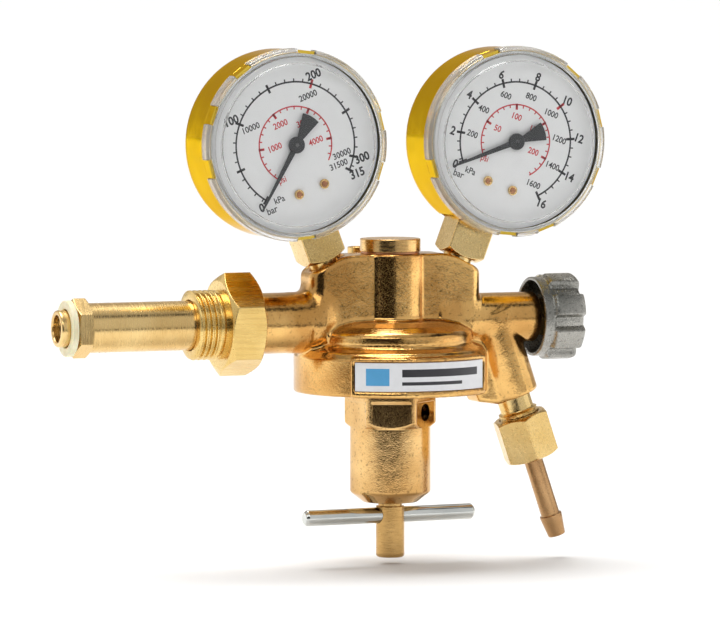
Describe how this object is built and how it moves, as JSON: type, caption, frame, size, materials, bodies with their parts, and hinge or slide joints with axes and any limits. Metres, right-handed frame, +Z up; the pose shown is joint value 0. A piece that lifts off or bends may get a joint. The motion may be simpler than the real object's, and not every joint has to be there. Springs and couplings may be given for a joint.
{
  "type": "gas cylinder pressure regulator",
  "caption": "Cylinder pressure regulator with inlet union, two round gauges in a V, outlet valve with lobed handwheel, angled hose tail and T-bar adjusting screw.",
  "frame": {"origin": "centre of the inlet washer's sealing face, on the inlet axis", "axes": "-X out of the inlet towards the cylinder valve, +X towards the outlet handwheel, -Y towards the gauge faces, +Z up"},
  "size_m": [0.1867, 0.0665, 0.1691],
  "materials": {
    "forged_brass": "hot forged, then machined at its seats and threads",
    "turned_brass": "turned bar",
    "gilt_steel": "thin steel with a clear gold lacquer",
    "bright_steel": "nickel plated",
    "spring_steel": "oiled wire",
    "cast_zinc": "blasted die casting",
    "black_rubber": "moulded",
    "cream_nylon": "turned washer",
    "clear_plastic": "clear moulding",
    "white_enamel": "matt white",
    "black_enamel": "matt black",
    "sintered_bronze": "sintered and porous",
    "soft_copper": "annealed copper",
    "white_packing": "moulded packing ring",
    "white_label": "printed plate"
  },
  "bodies": {
    "regulator": {"regulator_body": "forged_brass", "label_plate": "white_label", "top_plug": "turned_brass", "plug_seal": "soft_copper", "inlet_tail": "turned_brass", "inlet_washer": "cream_nylon", "inlet_filter": "sintered_bronze", "filter_clip": "spring_steel", "valve_seat": "turned_brass", "poppet_spring": "spring_steel", "diaphragm": "black_rubber", "slip_ring": "bright_steel", "bonnet": "forged_brass", "main_spring": "spring_steel", "relief_housing": "turned_brass", "relief_screw": "turned_brass", "relief_spring": "spring_steel", "gland_packing": "white_packing", "gland_nut": "turned_brass", "outlet_adaptor": "turned_brass", "hose_seal": "black_rubber", "hose_tail": "turned_brass", "hose_nut": "turned_brass", "high_gauge_case": "gilt_steel", "high_gauge_window": "clear_plastic", "high_gauge_dial": "white_enamel", "high_gauge_dial_screw_left": "turned_brass", "high_gauge_dial_screw_right": "turned_brass", "high_gauge_socket": "turned_brass", "high_gauge_movement_frame": "turned_brass", "high_gauge_bourdon_tube": "turned_brass", "low_gauge_case": "gilt_steel", "low_gauge_window": "clear_plastic", "low_gauge_dial": "white_enamel", "low_gauge_dial_screw_left": "turned_brass", "low_gauge_dial_screw_right": "turned_brass", "low_gauge_socket": "turned_brass", "low_gauge_movement_frame": "turned_brass", "low_gauge_bourdon_tube": "turned_brass"},
    "spring_seat": {"spring_button": "bright_steel"},
    "adjusting_screw": {"adjusting_spindle": "turned_brass", "t_bar": "bright_steel"},
    "valve_poppet": {"poppet": "turned_brass", "push_pin": "bright_steel", "diaphragm_plate": "turned_brass"},
    "outlet_valve_head": {"valve_head": "turned_brass"},
    "outlet_handwheel": {"handwheel": "cast_zinc", "valve_stem": "turned_brass", "wheel_nut": "bright_steel"},
    "union_nut": {"inlet_nut": "turned_brass"},
    "relief_lifter": {"relief_disc": "black_rubber"},
    "high_gauge_hand": {"high_gauge_pointer": "black_enamel", "high_gauge_pinion_arbor": "bright_steel"},
    "high_gauge_quadrant": {"high_gauge_sector": "turned_brass"},
    "high_gauge_link_arm": {"high_gauge_link": "turned_brass"},
    "low_gauge_hand": {"low_gauge_pointer": "black_enamel", "low_gauge_pinion_arbor": "bright_steel"},
    "low_gauge_quadrant": {"low_gauge_sector": "turned_brass"},
    "low_gauge_link_arm": {"low_gauge_link": "turned_brass"}
  },
  "joints": [
    {"name": "adjusting_travel", "type": "slide", "parent": "regulator", "child": "spring_seat", "axis": [0, 0, 1], "range_m": [-0.00875, 0.00063], "deforming": ["main_spring"]},
    {"name": "adjusting_turn", "type": "hinge", "parent": "spring_seat", "child": "adjusting_screw", "pos_m": [0.1134, 0, -0.0646], "axis": [0, 0, 1], "range_deg": [-2525, 185]},
    {"name": "poppet_lift", "type": "slide", "parent": "regulator", "child": "valve_poppet", "axis": [0, 0, 1], "range_m": [0, 0.0006], "stiffness_N_per_m": 2000, "deforming": ["diaphragm", "poppet_spring"]},
    {"name": "outlet_travel", "type": "slide", "parent": "regulator", "child": "outlet_valve_head", "axis": [1, 0, 0], "range_m": [0, 0.0015]},
    {"name": "handwheel_turn", "type": "hinge", "parent": "outlet_valve_head", "child": "outlet_handwheel", "pos_m": [0.1714, 0, 0], "axis": [1, 0, 0], "range_deg": [0, 545]},
    {"name": "inlet_nut_slide", "type": "slide", "parent": "regulator", "child": "union_nut", "axis": [-1, 0, 0], "range_m": [0, 0.0349]},
    {"name": "relief_lift", "type": "slide", "parent": "regulator", "child": "relief_lifter", "axis": [0, 0, 1], "range_m": [0, 0.0008], "stiffness_N_per_m": 300, "deforming": ["relief_spring"]},
    {"name": "high_gauge_pointer_turn", "type": "hinge", "parent": "regulator", "child": "high_gauge_hand", "pos_m": [0.0746, -0.0151, 0.059], "axis": [0, 1, 0], "range_deg": [0, 265], "stiffness_Nm_per_rad": 0.0005},
    {"name": "high_gauge_sector_turn", "type": "hinge", "parent": "regulator", "child": "high_gauge_quadrant", "pos_m": [0.07947, -0.008, 0.0463], "axis": [0, 1, 0], "range_deg": [-36, 1]},
    {"name": "high_gauge_link_swing", "type": "hinge", "parent": "high_gauge_quadrant", "child": "high_gauge_link_arm", "pos_m": [0.07981, -0.0066, 0.03981], "axis": [0, 1, 0], "range_deg": [-1, 36]},
    {"name": "low_gauge_pointer_turn", "type": "hinge", "parent": "regulator", "child": "low_gauge_hand", "pos_m": [0.1522, -0.0151, 0.059], "axis": [0, 1, 0], "range_deg": [0, 265], "stiffness_Nm_per_rad": 0.0005},
    {"name": "low_gauge_sector_turn", "type": "hinge", "parent": "regulator", "child": "low_gauge_quadrant", "pos_m": [0.14733, -0.008, 0.0463], "axis": [0, 1, 0], "range_deg": [-36, 1]},
    {"name": "low_gauge_link_swing", "type": "hinge", "parent": "low_gauge_quadrant", "child": "low_gauge_link_arm", "pos_m": [0.14324, -0.0066, 0.04125], "axis": [0, 1, 0], "range_deg": [-1, 36]}
  ],
  "couplings": [
    {"joint": "adjusting_turn", "follows": "adjusting_travel", "rad_per_m": 5026.5},
    {"joint": "handwheel_turn", "follows": "outlet_travel", "rad_per_m": 6283.2},
    {"joint": "high_gauge_sector_turn", "follows": "high_gauge_pointer_turn", "ratio": -0.13333},
    {"joint": "high_gauge_link_swing", "follows": "high_gauge_pointer_turn", "ratio": 0.13333},
    {"joint": "low_gauge_sector_turn", "follows": "low_gauge_pointer_turn", "ratio": -0.13333},
    {"joint": "low_gauge_link_swing", "follows": "low_gauge_pointer_turn", "ratio": 0.13333}
  ]
}
